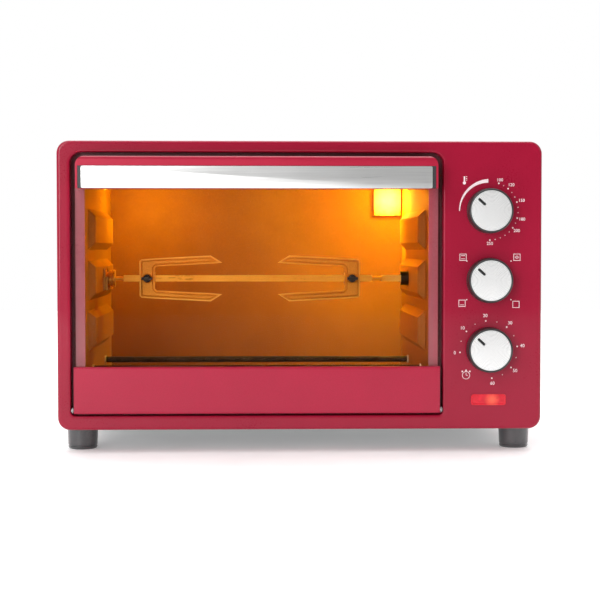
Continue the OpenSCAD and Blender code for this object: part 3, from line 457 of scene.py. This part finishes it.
def ink_line(a, b, wide=0.45):
    """A printed stroke from a to b."""
    a, b = Vector(a), Vector(b)
    mark = start("mark", "cube", size=1)
    bpy.ops.mesh.select_all(action="SELECT")
    bpy.ops.transform.resize(value=((b - a).length * mm, wide * mm, 0.06 * mm))
    bpy.ops.mesh.subdivide(number_cuts=2)
    take(mark)
    lean = Matrix.Rotation(math.atan2(b.y - a.y, b.x - a.x), 4, "Z")
    put(mark, Matrix.Translation(((a + b) / 2 * mm).to_3d()) @ lean)
    marks.append(mark)


def ink_ring(spot, radius, wide=0.5, corners=32, turn=0):
    """A printed ring or frame."""
    mark = start("mark", "circle", vertices=corners, radius=radius * mm, fill_type="NGON",
                 location=spot * mm, rotation=(0, 0, turn))
    bpy.ops.mesh.select_all(action="SELECT")
    bpy.ops.mesh.inset(thickness=wide * mm)
    bpy.ops.mesh.delete(type="FACE")
    bpy.ops.mesh.select_all(action="SELECT")
    draw_out(z=0.05 * mm)
    close_up(mark)
    marks.append(mark)


def ink_number(text, spot, tall):
    """A printed number."""
    take(None)
    bpy.ops.object.text_add(location=spot * mm)
    mark = bpy.context.object
    mark.data.body, mark.data.size = text, tall * 1.42 * mm
    mark.data.align_x, mark.data.align_y = "CENTER", "CENTER"
    mark.data.extrude, mark.data.resolution_u = 0.03 * mm, 3
    mark.data.offset = 0.04 * mm
    bpy.ops.object.convert(target="MESH")
    put(mark, Matrix())
    marks.append(mark)


def print_marks(name, dial):
    """Joins the marks drawn so far and prints them round a dial."""
    take(marks[0])
    for mark in marks:
        mark.select_set(True)
    bpy.ops.object.join()
    marks.clear()
    printed = bpy.context.object
    printed.name = name
    where = Vector((dial_centres[dial].x, face_y - 0.035 * mm, dial_centres[dial].z))
    put(printed, Matrix.Translation(where) @ Matrix.Rotation(math.radians(90), 4, "X"))
    settle(printed, ink, "oven")


big_dot, small_dot = 0.75, 0.42
heat_numbers = {0: "100", 2: "120", 5: "150", 8: "180", 10: "200", 15: "250"}
first_heat, heat_step = 19, 10.64
for step in range(16):
    around = first_heat + heat_step * step
    ink_dot(16, dial_spot(around, 27.7), big_dot if step in heat_numbers else small_dot)
    if step in heat_numbers:
        ink_number(heat_numbers[step], dial_spot(around, 32.4 if step in (2, 5, 8, 10) else 31), 2.9)
arc = start("mark", "grid", x_subdivisions=36, y_subdivisions=2, size=2)
bpy.ops.mesh.select_all(action="SELECT")
for v in bmesh.from_edit_mesh(arc.data).verts:
    along = (v.co.x + 1) / 2
    v.co = dial_spot(-90 + 88 * along, 28.3 + 0.25 * along + v.co.y * (0.4 + 1.35 * along)) * mm
draw_out(z=0.05 * mm)
close_up(arc)
marks.append(arc)
bulb_at = Vector((-23.8, 26.6, 0))
ink_dot(24, bulb_at, 1.5)
ink_line(bulb_at, bulb_at + Vector((0, 6.2, 0)), 1.3)
for rise in (2.6, 4.2, 5.8):
    ink_line(bulb_at + Vector((1.3, rise, 0)), bulb_at + Vector((2.7, rise, 0)))
print_marks("temperature_marks", "temperature")

mode_signs = ((-24.8, 22.0, "top bottom"), (26.7, 22.0, "frame"),
              (-25.6, -21.8, "bottom"), (26.0, -22.9, "plain"))
for x, y, sign in mode_signs:
    spot, half = Vector((x, y, 0)), 3.3
    ink_ring(spot, half * 1.414, 0.5, 4, math.radians(45))
    if "top" in sign:
        ink_line(spot + Vector((-1.9, 1.5, 0)), spot + Vector((1.9, 1.5, 0)))
    if "bottom" in sign:
        ink_line(spot + Vector((-1.9, -1.5, 0)), spot + Vector((1.9, -1.5, 0)))
    if sign == "frame":
        ink_ring(spot, 1.6, 0.45, 6)
        ink_line(spot + Vector((-2.2, 0, 0)), spot + Vector((2.2, 0, 0)), 0.35)
for degrees in (-49, 49, 131, -131):
    ink_dot(16, dial_spot(degrees, 28), 0.6)
print_marks("mode_marks", "mode")

first_minute, minute_step = -95.5, 22.4
for step in range(13):
    around = first_minute + minute_step * step
    ink_dot(16, dial_spot(around, 27.5), small_dot if step % 2 else big_dot)
    if step % 2 == 0:
        ink_number(str(step * 5), dial_spot(around, 32.5), 3.1)
bell_at = Vector((-21.5, -24.5, 0))
ink_ring(bell_at, 3.8, 0.5)
ink_line(bell_at, bell_at + Vector((0, 2.3, 0)))
ink_line(bell_at, bell_at + Vector((1.7, 0, 0)))
for x in (-3.6, 0, 3.6):
    ink_dot(16, bell_at + Vector((x, 4.6 - abs(x) / 4, 0)), 0.8)
print_marks("timer_marks", "timer")

# Pilot light: a small neon lamp behind a clear red lens whose face is sunk a little inside its rim,
# clipped into a slot of the front frame. It glows orange-red, brightest where the neon stands.
light_low, light_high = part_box("indicator_light")
pilot_face = Vector(((light_low.x + light_high.x) / 2, light_low.y, (light_low.z + light_high.z) / 2))
red_lens = finish("pilot_lens_red", "#a80a1c", "#c81428", 0.12, grain=420, patch=160, bump=0.6, depth=0.2,
                  Coat_Weight=0.3, Coat_Roughness=0.05, Specular_IOR_Level=0.2)
skin = red_lens.node_tree.nodes["Principled BSDF"]
spot = node(red_lens, "VectorMath", {0: node(red_lens, "TexCoord").outputs["Object"],
                                     1: pilot_face + Vector((3.5 * mm, 0, 0))}, operation="DISTANCE")
glow = node(red_lens, "MapRange", {"Value": spot.outputs["Value"], "From Min": 0.0, "From Max": 16 * mm,
                                   "To Min": 1.0, "To Max": 0.0})
heat = ramp(red_lens, glow.outputs[0], tone("#c41830"), tone("#ff8a5c"), 0.5, 0.9)
hot = ramp(red_lens, glow.outputs[0], (0.34, 0.34, 0.34, 1), (0.5, 0.5, 0.5, 1), 0.45, 0.95)
red_lens.node_tree.links.new(heat, skin.inputs["Emission Color"])
red_lens.node_tree.links.new(hot, skin.inputs["Emission Strength"])
lens = lift("indicator_light", "pilot_lens")
pick("faces", lambda face: face.normal.y < -0.99 and abs(face.calc_center_median().y - light_low.y) < 1e-5)
bpy.ops.mesh.inset(thickness=1.2 * mm)
bpy.ops.mesh.inset(thickness=0.35 * mm)
bpy.ops.transform.translate(value=(0, 0.3 * mm, 0))
close_up(lens)
settle(lens, red_lens, "oven")
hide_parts("indicator_light")

# Controls behind the panel: a thermostat, a mode switch and a bell timer in pressed cases, with
# steel shafts that carry the dials.
control_case = finish("control_case", "#b9b2a2", "#d6d0c0", 0.55, grain=500, patch=60, bump=0.3,
                      worn="#e8e4da")
shaft_steel = finish("shaft_steel", "#8d8d8c", "#b0b0ae", 0.3, grain=900, stretch=(1, 0.05, 1), bump=0.1,
                     Metallic=1.0)
dress("thermostat mode_switch timer", control_case, 0.15)
dress("temperature_shaft mode_shaft timer_shaft spit_motor", shaft_steel, 0.1)

# Door: a crimson pressed inner frame and lower panel with a 4 mm toughened glass pane between them.
# Screws from inside clamp it, and it hangs on two pins at its lower corners.
# The inner frame's pale lavender pink is painted reflection: red paint lightened as if white studio light
# were mirrored in the glass over it.
door_red_painted_reflection = finish("door_red_painted_reflection", "#a0667a", "#aa7488", 0.3, grain=700, bump=0.06, depth=0.02, worn="#d45a75",
                  Coat_Weight=0.5, Coat_Roughness=0.06, Specular_IOR_Level=0.3)
panel_red = finish("lower_panel_red", "#a00a31", "#ac0e37", 0.34, grain=900, bump=0.08, depth=0.02,
                   Coat_Weight=0.35, Coat_Roughness=0.16, Specular_IOR_Level=0.25)
dress("door_inner_frame", door_red_painted_reflection, 0.4)
dress("door_lower_panel", panel_red, 0.35)
dress("door_hinge_pins door_links", zinc, 0.1)
spring_steel = finish("spring_steel", "#6f7173", "#94979a", 0.35, grain=1500, bump=0.2, Metallic=1.0)
dress("door_springs", spring_steel, 0)
glass = finish("door_glass", "#efe2d8", "#f6ece4", 0.02, grain=60, patch=9, bump=0.02, depth=0.01,
               spread=0.5, Transmission_Weight=1.0, IOR=1.1)
dress("door_glass", glass, 0)

# Handle: a moulded crimson rail across the top of the door with a dark grip plate in its front and a
# brushed stainless strip glued on the plate. The strip's corners are rounded.
rail_red = finish("rail_red", "#96082b", "#a20c31", 0.36, grain=800, bump=0.1, depth=0.03, worn="#c22d47",
                  Coat_Weight=0.4, Coat_Roughness=0.1, Specular_IOR_Level=0.25)
grip_grey = finish("grip_plate_grey", "#1d1d1f", "#2b2b2e", 0.38, grain=1800, bump=0.3, depth=0.04,
                   worn="#48484b")
brushed = finish("brushed_strip", "#e2e2e1", "#f8f8f7", 0.3, grain=1400, patch=6, stretch=(0.008, 1, 1.2),
                 bump=0.12, depth=0.02, Metallic=0.8, Anisotropic=0.4)
dress("door_handle_rail", rail_red, 0.4)
dress("handle_grip_plate", grip_grey, 0.3)
strip = lift("handle_steel_strip", "brushed_steel_strip")
strip_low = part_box("handle_steel_strip")[0]
pick("edges", lambda edge: abs(edge.verts[0].co.y - edge.verts[1].co.y) > 0.3 * mm
     and all(abs(edge.verts[0].co[i] - edge.verts[1].co[i]) < 1e-6 for i in (0, 2)))
bpy.ops.mesh.bevel(offset=1.5 * mm, segments=4, affect="EDGES")
round_over(0.35 * mm, 2, lambda co: abs(co.y - strip_low.y) < 1e-5)
close_up(strip)
settle(strip, brushed, "door")
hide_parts("handle_steel_strip")

# Cavity: walls of aluminised steel with three pressed rack rails a side, coloured a warm orange-brown that
# is painted amber lamplight, baked on grease in broad brown patches, and a removable tray for crumbs on the
# floor.
# The orange-brown of the side walls, back, ceiling and floor is painted amber lamplight on grey steel.
cavity_steel_painted_lamplight = finish("cavity_steel_painted_lamplight", "#ac6c28", "#c48036", 0.42, grain=900, patch=8, bump=0.12, depth=0.04,
                      soil="#945c22", worn="#cc8c40", Metallic=0.6)
rear_steel_painted_lamplight = finish("cavity_rear_painted_lamplight", "#965a1e", "#a86824", 0.5, grain=900, patch=6, bump=0.12,
                    depth=0.04, soil="#86501c", Metallic=0.4)
tray_steel = finish("tray_steel", "#6e4c22", "#86602f", 0.4, grain=900, patch=12, bump=0.12, soil="#4a3018",
                    worn="#a08663", Metallic=0.7)
dress("cavity_left_wall cavity_right_wall", cavity_steel_painted_lamplight, 0.35)
dress("cavity_back_wall cavity_ceiling cavity_floor", rear_steel_painted_lamplight, 0.3)
dress("crumb_tray", tray_steel, 0.4)

# Heaters: steel tubes filled with insulating powder, browned by heat, that sit in white ceramic
# bushes in the side walls.
heater_steel = finish("heater_tube", "#2a2623", "#5a5048", 0.5, grain=700, patch=30, stretch=(0.2, 1, 1),
                      bump=0.3, depth=0.05, soil="#3d3557", Metallic=0.8)
ceramic = finish("ceramic_bush", "#cfc8b6", "#e6e0d0", 0.6, grain=900, patch=80, bump=0.4, soil="#8d7a5c")
dress("heaters_upper heaters_lower", heater_steel, 0)
dress("heater_insulators", ceramic, 0.15)

# Lamp: a pressed glass cover in the upper right corner of the rear wall, fluted so that it spreads
# the light of the small bulb behind it.
cover_low, cover_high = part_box("lamp_lens")
lamp_glass = finish("lamp_glass", "#ffd27a", "#ffe9b0", 0.15, grain=120, patch=60, bump=0.3, depth=0.2,
                    Emission_Strength=1.3, Coat_Weight=1.0, Coat_Roughness=0.05)
skin = lamp_glass.node_tree.nodes["Principled BSDF"]
lamp_at = Vector(((cover_low.x + cover_high.x) / 2, cover_low.y, (cover_low.z + cover_high.z) / 2))
spot = node(lamp_glass, "VectorMath", {0: node(lamp_glass, "TexCoord").outputs["Object"], 1: lamp_at},
            operation="DISTANCE")
shine = node(lamp_glass, "MapRange", {"Value": spot.outputs["Value"], "From Min": 0.0, "From Max": 22 * mm})
warm = ramp(lamp_glass, shine.outputs[0], tone("#fff4b0"), tone("#ff9a10"), 0.2, 0.9)
lamp_glass.node_tree.links.new(warm, skin.inputs["Emission Color"])
flutes_across = 6
cover = start("fluted_lamp_cover", "grid", x_subdivisions=flutes_across * 4, y_subdivisions=2, size=1)
bpy.ops.mesh.select_all(action="SELECT")
wide, tall = (cover_high.x - cover_low.x) - 4 * mm, (cover_high.z - cover_low.z) - 4 * mm
bpy.ops.transform.resize(value=(wide, tall, 1))
for v in bmesh.from_edit_mesh(cover.data).verts:
    v.co.z = abs(math.sin((v.co.x / wide + 0.5) * math.pi * flutes_across)) * 1.6 * mm
draw_out(z=-5 * mm)
pick("verts", lambda v: v.co.z < -1 * mm)
bpy.ops.transform.resize(value=(1, 1, 0))
close_up(cover, 50)
put(cover, Matrix.Translation((lamp_at.x, cover_low.y + 1.7 * mm, lamp_at.z))
    @ Matrix.Rotation(math.radians(90), 4, "X"))
settle(cover, lamp_glass, "oven")
bulb_glass = finish("bulb_glass", "#ffe2a0", "#fff2cc", 0.1, grain=300, bump=0.05, Emission_Strength=8.0,
                    Emission_Color=tone("#ffc860"))
dress("lamp_lens", lamp_glass, 0.6)
dress("lamp_bulb", bulb_glass, 0)

# Spit: a square nickel-plated rod with a point, turned necks and a grooved brass bush that lies in a
# notched bracket at the left. A black socket on the motor's shaft drives it at the right.
# The rod's golden yellow is painted amber lamplight on the nickel plate.
spit_chrome_painted_lamplight = finish("spit_chrome_painted_lamplight", "#f0b434", "#ffcc48", 0.3, grain=500, patch=40, stretch=(0.1, 1, 1),
                     bump=0.1, depth=0.02, worn="#ffe070", Metallic=0.4)
brass = finish("brass_bush", "#d09028", "#f0b440", 0.3, grain=700, patch=90, stretch=(1, 0.2, 0.2),
               bump=0.15, worn="#f8dc80", Metallic=0.5)
bracket_steel = finish("bracket_steel", "#a87c3c", "#c8984c", 0.36, grain=600, patch=60, bump=0.2,
                       worn="#d2bf92", Metallic=1.0)
dress("spit_rod", spit_chrome_painted_lamplight, 0)
dress("spit_bush", brass, 0.25)
dress("spit_support", bracket_steel, 0.2)
dress("drive_coupling", pointer_black, 0.4)

# Forks: two-prong forks stamped from steel plate with a raised rib that stiffens each prong. A black
# wing screw clamps each one on the rod.
# The forks' golden orange is painted amber lamplight on the steel plate.
fork_steel_painted_lamplight = finish("fork_steel_painted_lamplight", "#d89224", "#f2b038", 0.34, grain=900, patch=30, bump=0.05, depth=0.02,
                    worn="#ffd866", Metallic=0.5)
for side in ("left", "right"):
    fork_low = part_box("fork_" + side)[0]
    fork = lift("fork_" + side, "ribbed_fork_" + side)
    pick("faces", lambda face: face.normal.y < -0.99
         and face.calc_center_median().y < fork_low.y + 0.2 * mm)
    bpy.ops.mesh.inset(thickness=1.8 * mm)
    bpy.ops.mesh.inset(thickness=0.6 * mm, depth=0.6 * mm)
    bpy.ops.mesh.inset(thickness=0.6 * mm, depth=-0.6 * mm)
    close_up(fork)
    settle(fork, fork_steel_painted_lamplight, side + "_fork")
    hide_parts("fork_" + side)
dress("fork_screw_left fork_screw_right", pointer_black, 0.3)

# Stage: a plain pale floor, soft studio light from panels at the left, top and rear and a smaller one
# at the right, and the oven's own lamp lighting the cavity.
floor = start("pale_floor", "plane", size=6)
bpy.ops.mesh.select_all(action="SELECT")
bpy.ops.mesh.subdivide(number_cuts=6)
take(floor)
floor.data.materials.append(finish("pale_floor", "#f4f4f4", "#ffffff", 0.6, grain=40, patch=3, bump=0.01,
                                   Emission_Color=(1, 1, 1, 1), Emission_Strength=0.2))


def studio_light(name, kind, spot, aim, power, size, colour=(1, 1, 1), tall=None):
    """A soft light at spot that points at aim."""
    lamp = bpy.data.lights.new(name, kind)
    lamp.energy, lamp.color = power, colour
    if kind == "AREA":
        lamp.shape, lamp.size, lamp.size_y = "RECTANGLE", size, tall or size
    else:
        lamp.shadow_soft_size = size
    holder = bpy.data.objects.new(name, lamp)
    bpy.context.scene.collection.objects.link(holder)
    holder.location = spot
    holder.rotation_euler = (Vector(aim) - Vector(spot)).to_track_quat("-Z", "Y").to_euler()
    holder.visible_camera = False
    holder.visible_glossy = holder.visible_transmission = not name.startswith("cavity")


studio_light("front_panel", "AREA", (-1.9, -2.4, 2.0), (0, 0, 0.15), 48, 2.2)
studio_light("low_panel", "AREA", (-1.15, -2.5, 0.55), (0, 0, 0.2), 20, 1.0, tall=0.9)
studio_light("right_panel", "AREA", (2.4, -1.2, 1.6), (0, 0, 0.15), 9, 1.4)
studio_light("top_panel", "AREA", (0, 0.3, 2.6), (0, 0, 0), 60, 3)
studio_light("rear_panel", "AREA", (0, 3.0, 1.8), (0, 0, 0.1), 30, 2.4)
studio_light("cavity_lamp", "POINT", (lamp_at.x, cover_low.y - 30 * mm, lamp_at.z), lamp_at, 4.6, 12 * mm,
             (1.0, 1.0, 0.005))
studio_light("cavity_fill", "POINT",
             (cover_low.x - 250 * mm, cover_low.y - 60 * mm, lamp_at.z - 5 * mm), lamp_at,
             0.72, 30 * mm, (1.0, 0.68, 0.005))
studio_light("cavity_glow", "AREA", (-0.04, cover_low.y - 205 * mm, lamp_at.z + 10 * mm),
             (-0.04, cover_low.y - 90 * mm, 0.1), 0.14, 0.24, (1.0, 0.14, 0.005), tall=0.06)
sky = bpy.data.worlds.new("studio_white")
bpy.context.scene.world = sky
sky.use_nodes = True
backdrop = sky.node_tree.nodes["Background"]
seen = node(sky, "LightPath").outputs["Is Camera Ray"]
across = node(sky, "SeparateXYZ", {0: node(sky, "TexCoord").outputs["Generated"]}).outputs["Y"]
dim = node(sky, "MapRange", {"Value": across, "From Min": -0.6, "From Max": 0.4,
                             "To Min": 0.16, "To Max": 0.8})
glow = node(sky, "Mix", {"Factor": seen, "A": dim.outputs[0], "B": 1.0}).outputs[0]
sky.node_tree.links.new(glow, backdrop.inputs["Strength"])
backdrop.inputs["Color"].default_value = (1, 1, 1, 1)
bpy.context.scene.view_settings.view_transform = "Standard"

camera = bpy.data.cameras.new("studio_camera")
camera.lens, camera.sensor_width = 88.4, 36
stand = bpy.data.objects.new("studio_camera", camera)
bpy.context.scene.collection.objects.link(stand)
stand.location = (-43.7 * mm, face_y - 1.396, 195 * mm)
camera_aim = Vector((-0.4 * mm, face_y, 145.4 * mm))
stand.rotation_euler = (camera_aim - stand.location).to_track_quat("-Z", "Y").to_euler()
bpy.context.scene.camera = stand
